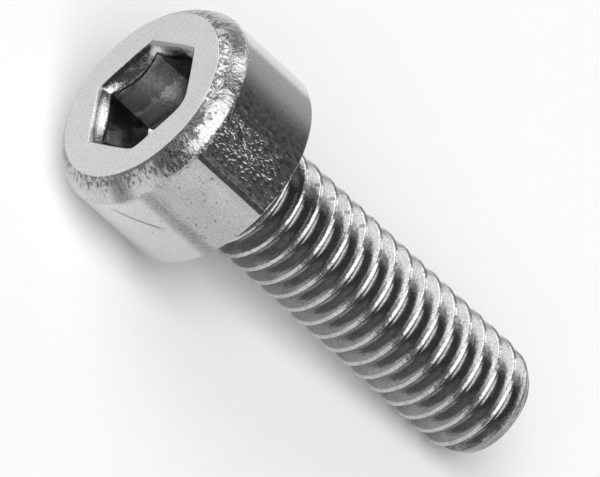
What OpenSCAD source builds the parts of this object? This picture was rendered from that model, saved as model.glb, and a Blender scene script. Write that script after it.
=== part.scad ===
// Hexagon socket head cap screw with a coarse right-hand thread along its whole shank.
// Millimetres, +Z up. The screw lies as it comes to rest: the lower edge of the head and the last
// full thread near the tip touch the plane z = 0, and the head points towards +X.

/* [Head] */
// Diameter of the round head
head_d = 4.36; // [4.32:0.02:4.5]
// Height of the head, from the bearing face to the flat top
head_h = 2.38; // [2.36:0.02:2.5]
// Radial width of the bevelled band round the top edge
band_w = 0.34; // [0.2:0.02:0.4]
// Height of the bevelled band round the top edge
band_h = 0.42; // [0.3:0.02:0.5]
// Outward bulge of the band beyond a plain cone
band_bulge = 0.04; // [0.02:0.01:0.06]

/* [Hexagon socket] */
// Width across the flats, the key size
socket_af = 2.0; // [1.8:0.05:2.1]
// Depth of the straight walls, from the flat top
socket_depth = 1.4; // [1.1:0.05:1.5]
// Widening of the mouth beyond each flat
mouth_w = 0.15; // [0.05:0.01:0.2]
// Depth of the widened mouth
mouth_h = 0.3; // [0.1:0.05:0.4]
// Full angle of the drilled cone below the walls
cone_angle = 120; // [110:5:140]
// Turn of the hexagon about the screw's axis, from the line the screw rests on
socket_turn = 26; // [0:1:59]

/* [Thread] */
// Length of the shank under the head
shank_l = 8.1; // [6:0.1:10]
// Diameter over the crests
thread_d = 2.42; // [2.38:0.01:2.5]
// Diameter at the roots
root_d = 1.87; // [1.85:0.01:1.95]
// Advance of the thread in one turn
pitch = 0.45; // [0.43:0.01:0.48]
// Width of the flat on each crest
crest_w = 0.06; // [0.04:0.01:0.08]
// Included angle of the flanks
flank_angle = 60; // [50:1:60]
// Distance of the last full crest from the start of the tip's taper, along the line the screw rests on
last_crest = 0.06; // [0.05:0.01:0.3]

/* [Neck and tip] */
// Depth of the plain neck under the head, below the thread's crests
neck_drop = 0.11; // [0.08:0.01:0.2]
// Clearance between the thread's crests and the inner edge of the bearing face
seat_gap = 0.03; // [0.01:0.01:0.06]
// Length of the plain neck
neck_l = 0.25; // [0.2:0.05:0.5]
// Length over which the thread runs out into the neck
runout_l = 0.45; // [0.3:0.05:0.6]
// Diameter of the flat end of the tip
tip_d = 1.98; // [1.8:0.02:2.1]
// Length of the taper at the tip
tip_l = 0.42; // [0.3:0.02:0.5]

/* [Hidden] */
steel = "#c3c5c8";
$fn = 96;
head_r = head_d / 2;
crest_r = thread_d / 2;
root_r = root_d / 2;
neck_r = crest_r - neck_drop;
// the fillet between head and neck ends just outside the crests, so that a washer seats flat
fillet_r = neck_drop + seat_gap;
tip_r = tip_d / 2;
// how deep shank and cutters reach past a shared face
overlap = 0.15;
// columns of the thread in one turn, and outline points in one pitch
turn_steps = 32;
pitch_points = 4;
arc_steps = 6;
flank_w = (crest_r - root_r) * tan(flank_angle / 2);
root_w = pitch - crest_w - 2 * flank_w;
// the resting line runs from the bearing edge to the last full crest
crest_at = shank_l - tip_l - last_crest;
lean = atan((head_r - crest_r) / (crest_at + crest_w / 2));
top_reach = head_h * cos(lean) + (head_r - band_w) * sin(lean);
tip_reach = shank_l * cos(lean) + tip_r * sin(lean);
// the thread starts just inside the neck and ends past the tip
thread_top = -neck_l / 2 + overlap;
turns_up = ceil((crest_at + thread_top) / pitch);
thread_z = crest_w / 2 - crest_at + turns_up * pitch;
turn_count = ceil((shank_l + thread_z) / pitch) + 2;
row_count = turn_count * pitch_points;

// one point of the band, from the head's side (t = 0) to the flat top (t = 1)
function band_point(t) =
    let (across = norm([band_w, band_h]), bulge = band_bulge * sin(180 * t))
    [head_r - band_w * t + bulge * band_h / across, head_h - band_h * (1 - t) + bulge * band_w / across];

// one point of the fillet, from the bearing face (t = 0) to the neck (t = 1)
function fillet_point(t) = [neck_r + fillet_r * (1 - sin(90 * t)), fillet_r * (cos(90 * t) - 1)];

// outline of one pitch from crest to root: drop along the axis, and radius
function pitch_drop(j) = [0, crest_w, crest_w + flank_w, crest_w + flank_w + root_w][j];
function pitch_radius(j) = j < 2 ? crest_r : root_r;

// share of a turn at column q; the columns stand beside the resting line, so that the crest rests on a facet
function column_turn(q) = (q + 0.5) / turn_steps;

// one point of the thread in row i, column q; each full turn of columns rises by one pitch
function thread_point(i, q) =
    let (j = i % pitch_points, turn = floor(i / pitch_points), a = 360 * column_turn(q))
    [pitch_radius(j) * cos(a), pitch_radius(j) * sin(a),
     thread_z - turn * pitch - pitch_drop(j) + pitch * column_turn(q)];

// place of a thread point in the list; the column past the last is the first one, a pitch higher
function thread_id(i, q) = q < turn_steps ? i * turn_steps + q : (i - pitch_points) * turn_steps;

// two triangles of the thread's skin between rows i, i + 1 and columns q, q + 1
function skin(i, q) = [
    [thread_id(i, q), thread_id(i, q + 1), thread_id(i + 1, q + 1)],
    [thread_id(i, q), thread_id(i + 1, q + 1), thread_id(i + 1, q)]];

// closed fan between a centre point and a ring of points
function fan(centre, ring) = [
    for (n = [0 : len(ring) - 1]) [centre, ring[n], ring[(n + 1) % len(ring)]]];

module helical_thread() {
    last_q = turn_steps - 1;
    points = [for (i = [0 : row_count], q = [0 : last_q]) thread_point(i, q)];
    top_id = len(points);
    ends = [[0, 0, thread_z + pitch / 2], [0, 0, thread_z - turn_count * pitch + pitch / 2]];
    skins = [
        for (q = [0 : last_q], i = [q < last_q ? 0 : pitch_points : row_count - 1])
        each skin(i, q)];
    top_ring = concat(
        [for (i = [pitch_points : -1 : 1]) thread_id(i, last_q)],
        [for (q = [last_q : -1 : 0]) thread_id(0, q)]);
    bottom_ring = concat(
        [for (i = [row_count - pitch_points : row_count - 1]) thread_id(i, 0)],
        [for (q = [0 : last_q]) thread_id(row_count, q)]);
    polyhedron(concat(points, ends), concat(skins, fan(top_id, top_ring), fan(top_id + 1, bottom_ring)));
}

// room that the thread keeps: it runs out into the neck at the top and tapers at the tip
module thread_room() {
    slack = 0.1;
    start = neck_l / 2;
    start_r = neck_r - overlap / 2;
    taper = tip_l / (crest_r - tip_r);
    rotate_extrude()
        polygon([
            [0, -start], [start_r, -start],
            [crest_r + slack, -start - runout_l], [crest_r + slack, slack * taper + tip_l - shank_l],
            [tip_r, -shank_l], [0, -shank_l]]);
}

// plain neck with its fillet; its lower end tapers into the roots of the thread
module neck() {
    rotate_extrude()
        polygon(concat(
            [[0, overlap], [neck_r + fillet_r, overlap]],
            [for (n = [0 : arc_steps]) fillet_point(n / arc_steps)],
            [[neck_r, -neck_l], [root_r - overlap / 2, -neck_l - runout_l], [0, -neck_l - runout_l]]));
}

module head() {
    rotate_extrude()
        polygon(concat(
            [[0, 0], [head_r, 0]],
            [for (n = [0 : arc_steps]) band_point(n / arc_steps)],
            [[0, head_h]]));
}

module hex_socket() {
    corner = 1 / cos(30);
    wall_r = socket_af / 2 * corner;
    mouth_r = (socket_af / 2 + mouth_w) * corner;
    // the mouth's slope is carried on above the flat top
    rise = overlap * (mouth_r - wall_r) / mouth_h;
    rotate([0, 0, socket_turn]) {
        translate([0, 0, head_h - socket_depth])
            cylinder(r = wall_r, h = socket_depth, $fn = 6);
        translate([0, 0, head_h - mouth_h])
            cylinder(r1 = wall_r, r2 = mouth_r + rise, h = mouth_h + overlap, $fn = 6);
    }
    cone_h = socket_af / 2 / tan(cone_angle / 2);
    translate([0, 0, head_h - socket_depth - cone_h])
        cylinder(r1 = 0, r2 = socket_af / 2, h = cone_h);
}

module cap_screw() {
    color(steel)
        translate([(tip_reach - top_reach) / 2, 0, head_r * cos(lean)])
        rotate([0, 90 - lean, 0]) {
            difference() {
                head();
                hex_socket();
            }
            neck();
            intersection() {
                helical_thread();
                thread_room();
            }
        }
}

cap_screw();
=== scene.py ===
import math
import bpy
import numpy as np
from mathutils import Matrix, Vector


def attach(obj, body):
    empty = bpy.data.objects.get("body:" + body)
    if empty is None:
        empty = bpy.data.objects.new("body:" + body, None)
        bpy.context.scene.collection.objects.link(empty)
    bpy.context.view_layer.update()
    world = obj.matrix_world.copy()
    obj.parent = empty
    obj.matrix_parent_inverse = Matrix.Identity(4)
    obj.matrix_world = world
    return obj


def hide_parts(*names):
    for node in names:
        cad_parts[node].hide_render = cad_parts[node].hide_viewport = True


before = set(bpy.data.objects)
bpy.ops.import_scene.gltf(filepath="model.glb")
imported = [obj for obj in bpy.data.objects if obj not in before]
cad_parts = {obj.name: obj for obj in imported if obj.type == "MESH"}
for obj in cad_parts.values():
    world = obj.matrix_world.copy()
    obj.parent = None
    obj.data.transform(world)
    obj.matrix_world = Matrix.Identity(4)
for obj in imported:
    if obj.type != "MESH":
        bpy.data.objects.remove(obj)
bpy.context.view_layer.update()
print("frame loaded:", ", ".join(sorted(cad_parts)))

millimetre = 0.001  # in metres
flatTurn = 60.0  # from one flat of the hexagon to the next

# sizes of the solid, in millimetres and degrees; turns count from the line that the screw rests on
screw = {
    "headAcross": 4.36, "headHeight": 2.38,
    "bandWidth": 0.34, "bandHeight": 0.42, "bandBulge": 0.04,  # bevelled band round the top edge
    "socketFlats": 2.0, "socketDepth": 1.4, "socketTurn": 26.0, "mouthWidening": 0.15, "coneAngle": 120.0,
    "shankLength": 8.1, "threadAcross": 2.42, "rootAcross": 1.87,
    "pitch": 0.45, "crestWidth": 0.06, "flankAngle": 60.0,
    "lastCrest": 0.06,  # from the last full crest to the start of the tip's taper
    "neckAcross": 2.2, "neckLength": 0.25, "filletRadius": 0.14,
    "runoutLength": 0.45, "overlap": 0.15,  # the run-out starts a little inside the neck
    "tipAcross": 1.98, "tipLength": 0.42,
}
headR, headH = screw["headAcross"] / 2, screw["headHeight"]
crestR, rootR = screw["threadAcross"] / 2, screw["rootAcross"] / 2
neckR, tipR = screw["neckAcross"] / 2, screw["tipAcross"] / 2
shankL, pitch = screw["shankLength"], screw["pitch"]
flatR = screw["socketFlats"] / 2
mouthR = flatR + screw["mouthWidening"]
bandLow, bandIn = headH - screw["bandHeight"], headR - screw["bandWidth"]  # band's lower and inner edge
coneDrop = flatR / math.tan(math.radians(screw["coneAngle"] / 2))
flankWidth = (crestR - rootR) * math.tan(math.radians(screw["flankAngle"] / 2))
crestAt = shankL - screw["tipLength"] - screw["lastCrest"]  # last full crest on the resting line
lean = math.atan((headR - crestR) / (crestAt + screw["crestWidth"] / 2))
topReach = headH * math.cos(lean) + bandIn * math.sin(lean)
tipReach = shankL * math.cos(lean) + tipR * math.sin(lean)
seatX, seatZ = (tipReach - topReach) / 2, headR * math.cos(lean)  # middle of the bearing face


# screw coordinates to the room: turn about Y until the axis leans, then move the bearing face to its place
def layDown(place):
    x, y, z = place[..., 0], place[..., 1], place[..., 2]
    return millimetre * np.stack([
        seatX + z * math.cos(lean) + x * math.sin(lean), y,
        seatZ + z * math.sin(lean) - x * math.cos(lean)], axis=-1)


# points round the screw's axis: radius times cosine and sine of the turn, and the height
def around(radius, angle, height):
    turned = np.radians(angle)
    return np.stack([radius * np.cos(turned), radius * np.sin(turned), height], axis=-1)


# smaller of a and b with a soft joint: the straight minimum less a parabola where they are close
def softMin(a, b, reach):
    near = np.maximum(reach - np.abs(a - b), 0) / reach
    return np.minimum(a, b) - near ** 2 * reach / 4


head = {
    "coneShare": 0.985,  # the cone's circle stays just inside the flats
    "coneSteps": (0.02, 0.3, 0.65, 0.97, 1.0),
    # how far each edge is rounded
    "mouthEdge": 0.07, "lipEdge": 0.05, "topEdge": 0.03, "sideEdge": 0.04, "seatEdge": 0.05,
    # rows on each stretch, on a round edge and on a wide one, and how close to its ends a stretch is held
    "wallRows": 3, "slopeRows": 4, "topRows": 6, "bandRows": 12, "sideRows": 6, "seatRows": 3,
    "edgeRows": 4, "wideRows": 5, "hold": 0.012,
    # the mouth's slope: its foot at the corners, and how much deeper it reaches on each flat
    "cornerDepth": 0.17, "scallops": (0.1, 0.1, 0.1, 0.17, 0.17, 0.09),
    # how far each worn corner reaches, times the half-width of the flats
    "cornerLimits": (1.2, 1.13, 1.09, 1.2, 1.2, 1.2), "cornerSoft": 0.05,
    # a burr on the mouth's rim: its turn, width in degrees, height, reach and spread over the rim
    "burrAt": 107.2, "burrWidth": 2.0, "burrHeight": 0.07, "burrReach": 0.08, "burrSpread": 0.0447,
}


# straight line from a to b in even steps, with a row held close to each end to keep the shading flat
def straight(a, b, rows):
    a, b = np.array(a), np.array(b)
    length, hold = np.linalg.norm((b - a)[:2]), head["hold"]
    share = hold / length if length > 3 * hold else 0.25  # a short line is only quartered
    steps = np.concatenate([[0.0], np.linspace(share, 1 - share, rows), [1.0]])
    return a + steps[:, None] * (b - a)


# corner turned into an arc: Bezier weights on the corner and on two points at the reach to both sides of it
def softCorner(before, corner, after, reach, rows):
    before, corner, after = np.array(before), np.array(corner), np.array(after)
    start = corner + reach * (before - corner) / np.linalg.norm((before - corner)[:2])
    end = corner + reach * (after - corner) / np.linalg.norm((after - corner)[:2])
    t = np.linspace(0, 1, rows + 1)[:, None]
    return (1 - t) ** 2 * start + 2 * t * (1 - t) * corner + t ** 2 * end


# head outline from the socket's cone to the neck, by straight lines and soft corners;
# each row is width, height, share of hexagon and share of scallop
def headOutline():
    ledge, coneR = headH - screw["socketDepth"], flatR * head["coneShare"]
    cone = [(coneR * t, ledge - coneDrop * (1 - t), 0, 0) for t in head["coneSteps"]]
    ledgeRows = [((flatR + coneR) / 2, ledge, 0.5, 0), (flatR, ledge, 1, 0)]
    slopeIn, slopeOut = (flatR, headH - head["cornerDepth"], 1, 1), (mouthR, headH, 1, 0)
    topIn, topOut = (bandIn, headH, 0, 0), (headR, bandLow, 0, 0)
    seatOut, seatIn = (headR, 0, 0, 0), (neckR, 0, 0, 0)
    # the band bulges out of a plain cone by half a sine; soft corners stand in for its two rows at each end
    t = np.linspace(0, 1, head["bandRows"] + 1)[:, None]
    out = np.array([screw["bandHeight"], screw["bandWidth"], 0, 0])
    bulge = screw["bandBulge"] * np.sin(np.pi * t) * out / np.linalg.norm(out)
    band = np.array(topIn) + t * (np.array(topOut) - np.array(topIn)) + bulge
    lip = softCorner(ledgeRows[-1], slopeIn, slopeOut, head["lipEdge"], head["edgeRows"])
    mouth = softCorner(slopeIn, slopeOut, (headR, headH, 1, 0), head["mouthEdge"], head["wideRows"])
    top = softCorner((0, headH, 0, 0), topIn, band[2], head["topEdge"], head["edgeRows"])
    side = softCorner(band[-3], topOut, seatOut, head["sideEdge"], head["edgeRows"])
    seat = softCorner(topOut, seatOut, seatIn, head["seatEdge"], head["wideRows"])
    a, filletR = np.linspace(0, np.pi / 2, head["wideRows"] + 1), screw["filletRadius"]
    fillet = np.stack([neckR + filletR * (1 - np.sin(a)), filletR * (np.cos(a) - 1), 0 * a, 0 * a], axis=1)
    return np.concatenate([
        cone, ledgeRows, straight(ledgeRows[-1], lip[0], head["wallRows"])[1:], lip[1:],
        straight(lip[-1], mouth[0], head["slopeRows"])[1:-1], mouth,
        straight(mouth[-1], top[0], head["topRows"])[1:-1], top, band[2:-2], side,
        straight(side[-1], seat[0], head["sideRows"])[1:-1], seat,
        straight(seat[-1], fillet[0], head["seatRows"])[1:-1], fillet])


# hexagon over circle: one over the cosine of the angle to the nearest flat's middle
def hexagonFactor(angle):
    fromMiddle = np.mod(angle - screw["socketTurn"], flatTurn) - flatTurn / 2
    return 1 / np.cos(np.radians(fromMiddle))


# the worn mouth: the same, with a soft limit at each corner
def wornFactor(angle):
    limits = np.array(head["cornerLimits"])
    corner = np.round((angle - screw["socketTurn"]) / flatTurn).astype(int)
    return softMin(hexagonFactor(angle), limits[np.mod(corner, len(limits))], head["cornerSoft"])


# head surface: each row of the outline is carried round as a circle, a hexagon or a blend, by its share
def headSurface(angle):
    width, rise, hexShare, scallopShare = np.split(headOutline(), 4, axis=1)
    # rows above the slope's foot take the worn corners
    worn = np.clip((rise - headH) / head["cornerDepth"] + 1, 0, 1) * (hexShare > 0)
    factor = (1 - worn) * hexagonFactor(angle) + worn * wornFactor(angle)
    radius = width * (1 - hexShare + hexShare * factor)
    # the slope reaches deepest in the middle of each flat, by a parabola
    flat, share = np.divmod((angle - screw["socketTurn"]) / flatTurn, 1)
    scallop = np.array(head["scallops"])[flat.astype(int)] * (1 - (2 * share - 1) ** 2)
    height = rise - scallopShare * scallop
    # the burr is a bell over the rim, times a bell round the turn
    nearRim = np.exp(-((width - mouthR) ** 2 + (rise - headH) ** 2) / head["burrSpread"] ** 2)
    burr = nearRim * np.exp(-((angle - head["burrAt"]) / head["burrWidth"]) ** 2)
    return around(radius - head["burrReach"] * burr, angle, height + head["burrHeight"] * burr)


thread = {
    "crestSoft": 0.38, "rootSoft": 0.3,  # soft joints, in shares of the thread's depth
    # rows over half a pitch, and how far those of crest and flank reach
    "crestRows": 4, "flankRows": 4, "rootRows": 3, "crestReach": 1.5, "flankStart": 2.2, "flankEnd": 0.9,
    "spareTurns": 2,  # turns of rows past both ends
    # soft joints with the run-out at the neck and the taper at the tip
    "roomSlack": 0.1, "roomSoft": 0.04, "taperSoft": 0.03, "coreStretch": 1.2,
    # worn crests: depth, how steeply it fades down the flank, and sines by waves per turn, drift and start
    "crestWear": 0.006, "wearPower": 4, "waves": ((17, 3.1, 0.0), (29, -7.3, 1.0), (47, 11.9, 2.2)),
    # a row of nicks: turn, width in degrees, stretch below the seat, place on the flank and depth
    "nickAt": 184.6, "nickWidth": 1.6, "nickFrom": 1.1, "nickTo": 2.95,
    "nickShare": 0.7, "nickReach": 0.13, "nickDepth": 0.012,
}


# radius over one pitch: full at the crest, sloping along the flank, flat at the root, with soft corners
def threadRadius(phase):
    away, crestHalf = np.minimum(phase, 1 - phase) * pitch, screw["crestWidth"] / 2
    height = 1 - (away - crestHalf) / flankWidth
    peak = softMin(1 + crestHalf / flankWidth, 1.0, thread["crestSoft"])
    height = softMin(height, 1.0, thread["crestSoft"]) / peak
    height = -softMin(-height, 0.0, thread["rootSoft"])
    return rootR + (crestR - rootR) * height


# waves of the rolled crest: the mean of a few sines round the turn that drift along the axis
def crestWaves(angle, height):
    turned = np.radians(angle)
    sines = [np.sin(count * turned + drift * height + start) for count, drift, start in thread["waves"]]
    return np.mean(sines, axis=0)


# radius of the shank at a depth below the seat and a turn: the thread less its wear and nicks,
# kept inside the run-out and the tip's taper, over the core of the neck
def shankRadius(down, angle):
    radius = threadRadius(np.mod((down - crestAt) / pitch + angle / 360.0, 1.0))
    share = np.clip((radius - rootR) / (crestR - rootR), 0, 1)
    wear = thread["crestWear"] * share ** thread["wearPower"] * (0.5 + 0.5 * crestWaves(angle, -down))
    fromNick = np.mod(angle - thread["nickAt"] + 180.0, 360.0) - 180.0
    onFlank = np.exp(-((share - thread["nickShare"]) / thread["nickReach"]) ** 2)
    inRow = (down > thread["nickFrom"]) & (down < thread["nickTo"])
    nick = thread["nickDepth"] * inRow * onFlank * np.exp(-(fromNick / thread["nickWidth"]) ** 2)
    startR, endR = neckR - screw["overlap"] / 2, crestR + thread["roomSlack"]
    room = startR + (down - screw["neckLength"] / 2) / screw["runoutLength"] * (endR - startR)
    taper = tipR + (shankL - down) * (crestR - tipR) / screw["tipLength"]
    pastNeck = np.clip((down - screw["neckLength"]) / screw["runoutLength"], 0, thread["coreStretch"])
    core = neckR + pastNeck * (rootR - screw["overlap"] / 2 - neckR)
    kept = softMin(softMin(radius - wear - nick, room, thread["roomSoft"]), taper, thread["taperSoft"])
    return np.maximum(kept, core)


# helical rows, as depths below the seat: each row keeps its place in the pitch and climbs one pitch per turn,
# and stops where it would pass the neck or the tip
def shankGrid(angle, firstDown, lastDown):
    crestHalf = screw["crestWidth"] / 2 / pitch
    flankFoot = crestHalf + flankWidth / pitch
    half = np.concatenate([
        np.linspace(0, crestHalf * thread["crestReach"], thread["crestRows"]),
        np.linspace(crestHalf * thread["flankStart"], flankFoot * thread["flankEnd"], thread["flankRows"]),
        np.linspace(flankFoot, 0.5, thread["rootRows"])])
    phases = np.concatenate([half, 1 - half[-2:0:-1]])
    before = math.ceil((crestAt - firstDown) / pitch) + thread["spareTurns"]
    after = math.ceil((lastDown - crestAt) / pitch) + thread["spareTurns"]
    rows = (np.arange(-before, after + 1)[:, None] + phases).ravel()
    down = crestAt + rows[:, None] * pitch - pitch * angle / 360.0
    return np.clip(down, firstDown, lastDown), len(phases)


surface = {
    "columns": 216, "sharpAngle": 38.0,
    "shankStart": 0.015,  # gap between the fillet and the shank's first ring
    "joinWithin": 0.0002,  # rows this close to an end join its ring
    "tipShares": (0.97, 0.6, 0.25),  # rings on the flat tip, in shares of its radius
}


# two triangles for each quad of a grid of point numbers; following holds the number in the next column
def skin(grid, following):
    here, below, right, belowRight = grid[:-1], grid[1:], following[:-1], following[1:]
    return np.concatenate([
        np.stack([here, belowRight, right], axis=-1).reshape(-1, 3),
        np.stack([here, below, belowRight], axis=-1).reshape(-1, 3)])


# triangles from one point to each side of a ring of points
def fan(pole, ring):
    return np.stack([np.full(len(ring), pole), ring, np.roll(ring, -1)], axis=-1)


# whole screw: the head's grid, the shank's helical grid and the tip's rings, joined by two shared rings
# and closed by a pole at each end
def buildScrew():
    columns = surface["columns"]
    angle = screw["socketTurn"] + 360.0 * np.arange(columns) / columns
    firstDown = screw["filletRadius"] + surface["shankStart"]
    down, perTurn = shankGrid(angle, firstDown, shankL)
    ringDown = np.array([[firstDown], [shankL]]) + 0 * angle
    rings = around(shankRadius(ringDown, angle), angle, -ringDown)
    tipRings = rings[1] * [1, 1, 0] * np.array(surface["tipShares"])[:, None, None] + [0, 0, -shankL]
    poles = np.array([[0, 0, headH - screw["socketDepth"] - coneDrop], [0, 0, -shankL]])
    groups = [headSurface(angle), rings, around(shankRadius(down, angle), angle, -down), tipRings, poles]
    sizes = [group[..., 0].size for group in groups]
    starts = np.cumsum([0] + sizes)
    headIds, (startRing, endRing), shankIds, tipIds, poleIds = (
        start + np.arange(size).reshape(group.shape[:-1])
        for start, size, group in zip(starts, sizes, groups))
    # rows stopped at the neck or the tip share the ring there
    shankIds = np.where(down <= firstDown + surface["joinWithin"], startRing, shankIds)
    shankIds = np.where(down >= shankL - surface["joinWithin"], endRing, shankIds)
    # the column after the last is the first one, a turn of rows higher
    wrapped = np.concatenate([np.full(perTurn, startRing[0]), shankIds[:-perTurn, 0]])
    nextIds = np.concatenate([shankIds[:, 1:], wrapped[:, None]], axis=1)
    upper = np.concatenate([headIds, startRing[None, :]])
    lower = np.concatenate([endRing[None, :], tipIds])
    faces = np.concatenate([
        skin(upper, np.roll(upper, -1, axis=1)), fan(poleIds[0], headIds[0]),
        skin(shankIds, nextIds),
        skin(lower, np.roll(lower, -1, axis=1)), fan(poleIds[1], tipIds[-1][::-1])])
    # triangles that closed up on a shared ring go, and so do points that none uses
    a, b, c = faces.T
    used, compact = np.unique(faces[(a != b) & (b != c) & (a != c)], return_inverse=True)
    points = np.concatenate([group.reshape(-1, 3) for group in groups])[used]
    faces = compact.reshape(-1, 3)
    mesh = bpy.data.meshes.new("capScrew")
    mesh.from_pydata(layDown(points), [], faces)
    mesh.shade_smooth()
    mesh.set_sharp_from_angle(angle=math.radians(surface["sharpAngle"]))
    # the material reads the place on the screw before it was laid down
    place = mesh.attributes.new("screwPlace", "FLOAT_VECTOR", "POINT")
    place.data.foreach_set("vector", points.astype(np.float32).ravel())
    piece = bpy.data.objects.new("capScrew", mesh)
    bpy.context.collection.objects.link(piece)
    print("cap screw:", len(points), "points,", len(faces), "triangles")
    return piece


# one socket of a node tree; arithmetic on wires and numbers adds Math nodes
class Wire:
    def __init__(self, tree, socket=None):
        self.tree, self.socket = tree, socket

    # any node: its settings first, then numbers or wires on its sockets
    def node(self, kind, settings=None, sockets=None, out=0):
        made = self.tree.nodes.new(kind)
        for name, value in (settings or {}).items():
            setattr(made, name, value)
        for key, value in (sockets or {}).items():
            if isinstance(value, Wire):
                self.tree.links.new(value.socket, made.inputs[key])
            else:
                made.inputs[key].default_value = value
        return Wire(self.tree, made.outputs[out])

    # one Math node on up to three terms
    def maths(self, operation, *terms):
        return self.node("ShaderNodeMath", {"operation": operation}, dict(enumerate(terms)))

    def __add__(self, other):
        return self.maths("ADD", self, other)

    def __radd__(self, other):
        return self.maths("ADD", other, self)

    def __sub__(self, other):
        return self.maths("SUBTRACT", self, other)

    def __rsub__(self, other):
        return self.maths("SUBTRACT", other, self)

    def __mul__(self, other):
        return self.maths("MULTIPLY", self, other)

    def __rmul__(self, other):
        return self.maths("MULTIPLY", other, self)

    def __truediv__(self, other):
        return self.maths("DIVIDE", self, other)

    def __rtruediv__(self, other):
        return self.maths("DIVIDE", other, self)

    def __abs__(self):
        return self.maths("ABSOLUTE", self)

    # soft step from 0 at low to 1 at high
    def step(self, low, high):
        return self.node("ShaderNodeMapRange", {"interpolation_type": "SMOOTHSTEP"},
                         {"Value": self, "From Min": low, "From Max": high})

    # soft step across a line, from the first to the second offset of the edge
    def past(self, line, edge):
        return self.step(line + edge[0], line + edge[1])

    # one soft step up and a later one down
    def between(self, rise, fall):
        return self.step(*rise) * (1 - self.step(*fall))

    # full close to the middle, and fading with the distance from it
    def near(self, middle, full, faded):
        return 1 - abs(self - middle).step(full, faded)

    # cloud noise on a vector wire that is stretched first; about 0.5 in the middle
    def noise(self, stretch, scale, detail, rough):
        stretched = self.node("ShaderNodeVectorMath", {"operation": "MULTIPLY"}, {0: self, 1: stretch})
        return self.node("ShaderNodeTexNoise", {"noise_dimensions": "3D"},
                         {"Vector": stretched, "Scale": scale, "Detail": detail, "Roughness": rough})


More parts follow.
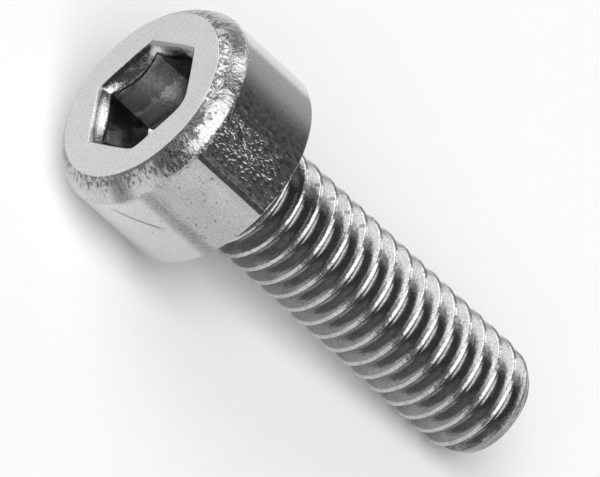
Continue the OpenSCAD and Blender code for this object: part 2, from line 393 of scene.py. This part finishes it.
steel = {
    "bright": (0.63, 0.635, 0.64, 1.0), "dull": (0.16, 0.162, 0.165, 1.0), "plainDull": 0.14,
    # cloud noises: stretch, scale, detail and roughness
    "clouds": {
        "grain": ((1, 1, 1), 26.0, 3.0, 0.65), "drawn": ((26, 26, 0.6), 1.0, 4.0, 0.65),
        "stain": ((1, 1, 1), 1.7, 4.0, 0.6), "pits": ((1, 1, 1), 15.0, 0.0, 0.5),
        "peel": ((1, 1, 0.7), 13.0, 1.0, 0.5), "peelGroups": ((1, 1, 1), 4.0, 2.0, 0.5),
        "flecks": ((1, 1, 0.35), 13.0, 3.0, 0.6), "tears": ((1, 1, 0.5), 5.0, 4.0, 0.58),
        # loops: the cloud that draws the painted highlight loops in the socket
        "ragged": ((1, 1, 0.8), 9.0, 4.0, 0.65), "loops": ((1, 1, 1), 5.0, 1.0, 0.5),
        "rolled": ((1, 1, 1), 9.0, 4.0, 0.6), "chatter": ((1, 1, 1), 8.0, 2.0, 0.5),
        "spots": ((1, 1, 1), 18.0, 2.0, 0.6),
    },
    # soft borders: start and end of each, in millimetres from its line
    "edges": {
        "seat": (-0.02, 0.0), "seatLow": (-0.02, -0.005), "seatHigh": (0.005, 0.03),
        "seatRim": (-0.08, -0.03), "side": (-0.03, -0.01), "top": (-0.02, -0.005),
        "scratchEnd": (-0.02, 0.2), "scratchTop": (-0.1, 0.0),
        "bandFoot": (-0.03, 0.02), "bandInner": (-0.01, 0.02),
        "blotchIn": (0.03, 0.08), "blotchLow": (-0.15, 0.05),
        "lineIn": (-0.01, 0.01), "lineOut": (0.03, 0.07), "lineLow": (-0.12, -0.05),
        "socket": (-0.6, -0.4), "socketRim": (-0.12, -0.07), "slope": (-0.32, -0.28),
        "deep": (-0.42, -0.25), "lowWall": (-0.95, -0.85),
        "flank": (-0.055, -0.035), "crest": (-0.07, -0.03), "crestSide": (-0.14, -0.08), "root": (0.02, 0.12),
        "nickRow": (0.0, 0.1), "tipFace": (0.0, 0.02), "tipEnd": (0.28, 0.4),
    },
    # stretches round the screw in degrees: where each comes in and goes out
    "stretches": {
        # front: the stretch of the head's side that takes painted shade
        "front": ((80.0, 94.0), (122.0, 126.0)), "patch": ((122.5, 125.5), (152.0, 180.0)),
        # frontBand: painted shade on the band's front; the inner tears also carry painted shade in their
        # stretch
        "frontBand": ((96.0, 106.0), (121.0, 127.0)), "innerTearsAndShade": ((96.0, 106.0), (138.0, 148.0)),
        # farFlank: the stretch of the thread's flanks that takes painted light
        "edgeLine": ((60.0, 85.0), (140.0, 150.0)), "farFlank": ((116.0, 130.0), (158.0, 178.0)),
    },
    # marks at one turn: its middle, and how far it is full and faded, in degrees from -180 to 180
    "marks": {
        # the first mark is a dark band down the head's side: a painted dark reflection
        "darkReflectionStreak": (89.5, 1.0, 6.0), "blotch": (77.5, 2.0, 10.0), "peel": (145.0, 3.0, 19.0),
        # loops: a socket slope with painted highlight loops
        "loops": (-64.0, 22.0, 29.0), "nick": (thread["nickAt"] - 360.0, 1.1, 2.6),
    },
    # one long scratch: turn and height of its two ends, and its full and faded half-width in degrees
    "scratchTop": (63.0, 1.85), "scratchEnd": (82.5, 0.92), "scratchWidths": (0.1, 1.7),
    # the last pair: where the painted shadow line on the crests' tip side rises and falls in the pitch
    "pitLevels": (0.76, 0.82), "nickAcross": (0.03, 0.055), "crestShadowLine": ((0.08, 0.12), (0.2, 0.3)),
    # peel: heights over which it grows, its share below them, and least and further share of its groups
    "peelHeights": (0.1, 1.3), "peelFoot": 0.6, "peelLeast": 0.4, "peelFurther": 1.4,
    # band: how ragged its foot is, bites by height and by tear, and where the inner tears lie
    "raggedReach": 0.35, "biteRise": 0.2, "biteTear": 0.4, "biteLevels": (0.55, 0.68),
    "innerRise": (0.45, 0.7), "innerLevels": (0.4, 0.52),
    # socket: middle of the bright lens and where its ends take painted shade, thin painted highlight loops,
    # and how uneven the low wall is
    "lensAt": -4.0, "lensEnds": ((8.0, 24.0), (27.0, 30.0)), "loopLevels": (0.01, 0.05), "lowWallReach": 0.5,
    # relief of each finish in millimetres; a negative one presses in
    "reliefs": {
        "grain": 0.0007, "drawn": 0.0008, "peel": -0.06, "scratch": -0.006, "tears": -0.022, "bites": -0.004,
        "chatter": 0.004, "thread": 0.006, "tipEnd": 0.012, "socket": 0.006,
    },
    # how much duller each finish, mark, painted shade or painted light makes the metal; below 0 it is
    # brighter
    "dulls": {
        # painted light on the top face and side, painted shade on the bearing face and the front stretch of
        # the side
        "grain": 0.9, "topGrain": 1.1, "stain": 0.3, "top": -0.12, "seat": 0.65,
        # the dark band down the side is a painted dark reflection
        "side": -0.12, "front": 0.36, "drawn": 0.4, "darkReflectionStreak": 0.36, "scratch": 0.8, "pits": 0.5,
        "patch": 0.3, "peel": 2.4,
        "band": 0.05, "bandRise": 0.15, "bites": 0.45, "biteRise": 0.4, "blotch": 0.6, "edgeLine": 0.6,
        # painted shade on the band's front, and over the tears on its inner part
        "frontBand": 0.3, "innerTearsAndShade": 0.85,
        # painted shade deep in the socket, less on its lowest walls and at the ends of the lens; painted
        # highlight loops below
        "socket": 0.05, "socketRim": 0.55, "deep": 0.75, "lowWall": -0.5, "lensEnds": 0.5,
        "loopSlope": -0.1, "loops": 0.6,
        # painted shade on flanks and roots, painted light on the far flanks, and a painted shadow line beside
        # the crests
        "flank": 0.58, "farFlank": -0.2, "root": 0.2, "crestShadowLine": 0.5, "crestSpots": 1.4, "nicked": 0.9,
        "tipSpots": 1.0,
    },
    "roughs": {"side": 0.12, "top": 0.3, "band": 0.15, "thread": 0.17, "socket": 0.12, "grain": 0.08},
}


# sum of masks, each times its share
def weighted(shares, masks):
    return sum(masks[name] * share for name, share in shares.items())


# steel: masks from 0 to 1 are products of soft steps over the screw's own radius, turn and height and over
# cloud noises, and their weighted sums give the relief, the dullness of the colour and the roughness
# part of the dullness is painted shade and painted light, each named where it is set
def steelMaterial():
    material = bpy.data.materials.new("brightSteel")
    material.use_nodes = True
    tree = material.node_tree
    shader = tree.nodes["Principled BSDF"]
    make = Wire(tree)
    place = make.node("ShaderNodeAttribute", {"attribute_name": "screwPlace"}, out="Vector")
    x, y, z = (place.node("ShaderNodeSeparateXYZ", None, {0: place}, out=n) for n in range(3))
    radius = make.maths("SQRT", x * x + y * y)
    turn = make.maths("ARCTAN2", y, x) * math.degrees(1)
    clouds = {name: place.noise(*settings) for name, settings in steel["clouds"].items()}
    grain, drawn, peel, tears, rolled = (clouds[k] for k in ("grain", "drawn", "peel", "tears", "rolled"))
    edges, stretches, marks = steel["edges"], steel["stretches"], steel["marks"]

    # where each finish, and each painted shade or light, lies
    inHead = z.past(0.0, edges["seat"])
    ragged = z + (clouds["ragged"] - 0.5) * steel["raggedReach"]
    inBand = ragged.past(bandLow, edges["bandFoot"]) * radius.past(bandIn, edges["bandInner"])
    outside = inHead * radius.past(headR, edges["side"])
    onSide = outside * (1 - inBand)
    onTop = z.past(headH, edges["top"]) * (1 - inBand)
    onSeat = z.past(0.0, edges["seatLow"]) * (1 - z.past(0.0, edges["seatHigh"]))
    onSeat = onSeat * (1 - radius.past(headR, edges["seatRim"]))
    inSocket = inHead * (1 - radius.past(headR, edges["socket"])) * (1 - onTop)
    inThread = 1 - inHead
    onShank = inThread - (1 - z.past(-shankL, edges["tipFace"]))  # without the flat tip

    # the head's side: a straight scratch, and a patch whose peel grows towards its middle
    patch = turn.between(*stretches["patch"]) * onSide
    (topTurn, topZ), (endTurn, endZ) = steel["scratchTop"], steel["scratchEnd"]
    lineTurn = (z - endZ) * ((topTurn - endTurn) / (topZ - endZ)) + endTurn
    scratch = (turn - lineTurn).near(0.0, *steel["scratchWidths"]) * outside
    scratch = scratch * z.past(endZ, edges["scratchEnd"]) * (1 - z.past(topZ, edges["scratchTop"]))
    peelShare = steel["peelFoot"] + z.step(*steel["peelHeights"]) * (1 - steel["peelFoot"])
    peelShare = peelShare * (clouds["peelGroups"] * steel["peelFurther"] + steel["peelLeast"])
    peelRise = 0.5 + (peel - 0.5) * turn.near(*marks["peel"]) * peelShare

    # the torn band
    bandRise = ((z - bandLow) / screw["bandHeight"]).step(0.0, 1.0)
    bites = clouds["flecks"] + (bandRise - 0.5) * steel["biteRise"] + (tears - 0.5) * steel["biteTear"]
    bites = bites.step(*steel["biteLevels"]) * inBand
    blotch = turn.near(*marks["blotch"]) * radius.past(bandIn, edges["blotchIn"])
    blotch = blotch * z.past(bandLow, edges["blotchLow"])
    edgeLine = radius.past(bandIn, edges["lineIn"]) * (1 - radius.past(bandIn, edges["lineOut"]))
    edgeLine = edgeLine * z.past(headH, edges["lineLow"]) * turn.between(*stretches["edgeLine"])
    # tears on the band's inner part, in one stretch of the turn, darkened also as painted shade
    innerTearsAndShade = bandRise.step(*steel["innerRise"]) * tears.step(*steel["innerLevels"]) * inBand
    innerTearsAndShade = innerTearsAndShade * turn.between(*stretches["innerTearsAndShade"])

    # the socket: painted shade on the deep walls, a slope bright only in the middle of one flat with painted
    # shade at its ends, and thin painted highlight loops on another
    inDeep = inSocket * (1 - z.past(headH, edges["deep"]))
    lowWall = 1 - (z + (tears - 0.5) * steel["lowWallReach"]).past(headH, edges["lowWall"])
    onSlope = inSocket * z.past(headH, edges["slope"])
    lensEnds = onSlope * abs(turn - steel["lensAt"]).between(*steel["lensEnds"])
    loopSlope = onSlope * turn.near(*marks["loops"])
    loops = abs(clouds["loops"] - 0.5).step(*steel["loopLevels"])

    # the thread: flanks and roots in painted shade, worn crests with a painted shadow line towards the tip,
    # nicks and a rough tip end
    onFlank = onShank * (1 - radius.past(crestR, edges["flank"]))
    onCrest = inThread * radius.past(crestR, edges["crest"])
    phase = make.maths("FRACT", turn / 360.0 - (z + crestAt) / pitch)  # place in the pitch, 0 on a crest
    crestShadowLine = inThread * phase.between(*steel["crestShadowLine"]) * radius.past(crestR, edges["crestSide"])
    nickR = rootR + thread["nickShare"] * (crestR - rootR)
    nicked = radius.near(nickR, *steel["nickAcross"]) * turn.near(*marks["nick"])
    nicked = nicked * z.past(-thread["nickTo"], edges["nickRow"])
    nicked = nicked * (1 - z.past(-thread["nickFrom"], edges["nickRow"]))
    tipEnd = onShank * (1 - z.past(-shankL, edges["tipEnd"]))

    relief = weighted(steel["reliefs"], {
        "grain": grain, "drawn": drawn * onSide, "peel": peelRise * patch, "scratch": scratch,
        "tears": tears * inBand, "bites": bites, "chatter": clouds["chatter"] * onCrest,
        "thread": rolled * inThread, "tipEnd": rolled * tipEnd, "socket": rolled * inSocket})
    bump = make.node("ShaderNodeBump", None, {
        "Height": relief * millimetre, "Distance": 1.0, "Strength": 1.0})
    tree.links.new(bump.socket, shader.inputs["Normal"])

    dullness = steel["plainDull"] + weighted(steel["dulls"], {
        "grain": grain - 0.5, "topGrain": (grain - 0.5) * onTop, "stain": clouds["stain"] - 0.5,
        # painted light on the top face and side, painted shade on the bearing face and the side's front
        # stretch
        "top": onTop, "seat": onSeat, "side": onSide, "front": turn.between(*stretches["front"]) * onSide,
        # a painted dark reflection in a band down the side
        "drawn": (drawn - 0.5) * onSide, "darkReflectionStreak": turn.near(*marks["darkReflectionStreak"]) * onSide, "scratch": scratch,
        "pits": clouds["pits"].step(*steel["pitLevels"]) * onSide,
        "patch": patch, "peel": (peel - 0.5) * patch,
        "band": inBand, "bandRise": bandRise * inBand, "bites": bites, "biteRise": bites * bandRise,
        # the inner tears are partly painted shade, and the band's front below is painted shade
        "blotch": blotch, "edgeLine": edgeLine, "innerTearsAndShade": innerTearsAndShade,
        "frontBand": inBand * turn.between(*stretches["frontBand"]),
        "socket": inSocket, "socketRim": inSocket * z.past(headH, edges["socketRim"]),
        # painted shade deep in the socket, lighter on the lowest walls, and at the ends of the lens
        "deep": inDeep, "lowWall": inDeep * lowWall, "lensEnds": lensEnds,
        # painted highlight loops: thin bright lines left in a darkened slope
        "loopSlope": loopSlope, "loops": loopSlope * loops,
        # painted shade on the flanks and roots, painted light on their far stretch, and a painted shadow line
        # beside the crests
        "flank": onFlank, "farFlank": onFlank * turn.between(*stretches["farFlank"]),
        "root": onShank * (1 - radius.past(rootR, edges["root"])), "crestShadowLine": crestShadowLine, "nicked": nicked,
        "crestSpots": (clouds["spots"] - 0.5) * onCrest, "tipSpots": (clouds["spots"] - 0.5) * tipEnd})
    # sockets 6 and 7 of Mix, and its third output, are the colours
    colour = make.node("ShaderNodeMix", {"data_type": "RGBA"},
                       {"Factor": dullness, 6: steel["bright"], 7: steel["dull"]}, out=2)
    tree.links.new(colour.socket, shader.inputs["Base Color"])

    rough = weighted(steel["roughs"], {
        "side": onSide, "top": onTop, "band": inBand, "thread": inThread, "socket": inSocket, "grain": grain})
    tree.links.new(rough.socket, shader.inputs["Roughness"])
    shader.inputs["Metallic"].default_value = 1.0
    print("steel material:", len(tree.nodes), "nodes")
    return material


# photo's view: where the camera stands, how it is rolled, and the pixel of the bearing face's middle
camera = {
    "azimuth": 144.386, "elevation": 35.0, "roll": -57.96, "distance": 400.0, "pixelsPerMm": 53.65,
    "imageSize": (600, 477), "seatPixel": (221.3, 166.7), "sensorWidth": 36.0, "clip": (0.005, 50.0),
}


# camera axes from azimuth, elevation and roll; aim so that the bearing face's middle falls on its pixel
def buildCamera():
    a, e, r = (math.radians(camera[k]) for k in ("azimuth", "elevation", "roll"))
    back = np.array([math.sin(a) * math.cos(e), -math.cos(a) * math.cos(e), math.sin(e)])
    right = np.array([math.cos(a), math.sin(a), 0.0])
    up = np.cross(back, right)
    right, up = right * math.cos(r) - up * math.sin(r), right * math.sin(r) + up * math.cos(r)
    (width, height), (pixelX, pixelY) = camera["imageSize"], camera["seatPixel"]
    off = np.array([pixelX - width / 2, height / 2 - pixelY]) / camera["pixelsPerMm"]
    aim = np.array([seatX, 0.0, seatZ]) - off[0] * right - off[1] * up
    eye = millimetre * (aim + camera["distance"] * back)
    data = bpy.data.cameras.new("photoCamera")
    data.sensor_width = camera["sensorWidth"]
    data.lens = data.sensor_width * camera["distance"] * camera["pixelsPerMm"] / width
    data.clip_start, data.clip_end = camera["clip"]
    body = bpy.data.objects.new("photoCamera", data)
    body.matrix_world = Matrix([[right[n], up[n], back[n], eye[n]] for n in range(3)] + [[0, 0, 0, 1]])
    bpy.context.collection.objects.link(body)
    bpy.context.scene.camera = body
    print("camera lens:", round(data.lens), "mm")


# directions point from the object; lengths are in metres and angles in degrees
studio = {
    "floorSize": 4.0, "floorColour": (0.9, 0.9, 0.9, 1.0), "floorRough": 0.9, "floorGlow": 0.97,
    "sunFrom": (0.4, 0.55, 0.73), "sunStrength": 3.07, "sunAngle": 60.0,
    "softboxes": [
        {"name": "overheadPanel", "toward": (0.41, 0.38, 0.83), "away": 0.3, "across": (0.34, 0.34),
         "shape": "ELLIPSE", "areaShare": math.pi / 4, "glow": 1.75},
        {"name": "sidePanel", "toward": (-0.02, -0.6, 0.8), "away": 0.35, "across": (0.29, 0.12),
         "shape": "RECTANGLE", "areaShare": 1.0, "glow": 1.9},
    ],
    # soft round panels of the room: half-angles of the full and of the faded part, and brightness
    "panels": [
        {"toward": (0.82, -0.57, 0.1), "full": 28.0, "faded": 44.0, "glow": 2.3},
        {"toward": (-0.5, -0.8, -0.1), "full": 12.0, "faded": 62.0, "glow": 0.38},
        {"toward": (0.8, 0.12, 0.58), "full": 6.0, "faded": 26.0, "glow": 0.4},
    ],
    # low wall with a crisp upper edge
    "wall": {"toward": (-0.58, 0.81, 0.0), "full": 40.0, "faded": 47.0, "glow": 0.92},
    "wallTop": 21.0, "wallEdge": (-0.02, 0.02), "horizon": (-0.02, -0.005), "roomGlow": 0.12,
}


# a lamp at a distance in its direction, turned to shine back along it
def addLamp(name, kind, toward, away):
    lamp = bpy.data.lights.new(name, kind)
    body = bpy.data.objects.new(name, lamp)
    body.location = Vector(toward).normalized() * away
    body.rotation_mode = "QUATERNION"
    body.rotation_quaternion = Vector(toward).to_track_quat("Z", "Y")
    bpy.context.collection.objects.link(body)
    return lamp, body


# plain square floor under the resting screw
def buildFloor():
    half = studio["floorSize"] / 2
    mesh = bpy.data.meshes.new("floor")
    corners = [(-half, -half, 0), (half, -half, 0), (half, half, 0), (-half, half, 0)]
    mesh.from_pydata(corners, [], [(0, 1, 2, 3)])
    floor = bpy.data.objects.new("floor", mesh)
    bpy.context.collection.objects.link(floor)
    pale = bpy.data.materials.new("paleFloor")
    pale.use_nodes = True
    paint = pale.node_tree.nodes["Principled BSDF"].inputs
    paint["Base Color"].default_value = studio["floorColour"]
    paint["Roughness"].default_value = studio["floorRough"]
    paint["Specular IOR Level"].default_value = 0.0
    mesh.materials.append(pale)


# a sun that only lights dull surfaces, and softboxes that show in the metal and leave the floor to the sun;
# a softbox's power is its brightness times pi times its area
def buildLamps():
    sun, sunBody = addLamp("floorSun", "SUN", studio["sunFrom"], 0.0)
    sun.energy, sun.angle = studio["sunStrength"], math.radians(studio["sunAngle"])
    sunBody.visible_glossy = False
    for box in studio["softboxes"]:
        lamp, body = addLamp(box["name"], "AREA", box["toward"], box["away"])
        lamp.shape = box["shape"]
        lamp.size, lamp.size_y = box["across"]
        lamp.energy = box["glow"] * math.pi * lamp.size * lamp.size_y * box["areaShare"]
        body.visible_camera = body.visible_diffuse = False


# the room's brightness in each direction: a dim room, plus the panels, plus the wall below its upper edge;
# below the horizon the room goes on as bright as the floor
def buildRoom():
    world = bpy.data.worlds.new("studioRoom")
    world.use_nodes = True
    bpy.context.scene.world = world
    tree = world.node_tree
    heading = Wire(tree).node("ShaderNodeTexCoord", out="Generated")
    rise = heading.node("ShaderNodeSeparateXYZ", None, {0: heading}, out="Z")

    # brightness of a soft round panel: a soft step over the cosine of the angle to its middle
    def panelGlow(panel):
        facing = heading.node("ShaderNodeVectorMath", {"operation": "DOT_PRODUCT"},
                              {0: heading, 1: Vector(panel["toward"]).normalized()}, out="Value")
        faded, full = (math.cos(math.radians(panel[k])) for k in ("faded", "full"))
        return facing.step(faded, full) * panel["glow"]

    underTop = 1 - rise.past(math.sin(math.radians(studio["wallTop"])), studio["wallEdge"])
    above = studio["roomGlow"] + panelGlow(studio["wall"]) * underTop + sum(map(panelGlow, studio["panels"]))
    below = 1 - rise.step(*studio["horizon"])
    glow = above * (1 - below) + below * studio["floorGlow"]
    backdrop = tree.nodes["Background"].inputs
    tree.links.new(glow.socket, backdrop["Strength"])
    backdrop["Color"].default_value = (1.0, 1.0, 1.0, 1.0)
    print("studio ready:", len(bpy.data.lights), "lamps,", len(studio["panels"]), "panels")


piece = buildScrew()
piece.data.materials.append(steelMaterial())
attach(piece, "root")
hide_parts("cap_screw")
buildCamera()
buildFloor()
buildLamps()
buildRoom()
bpy.context.scene.view_settings.view_transform = "Standard"
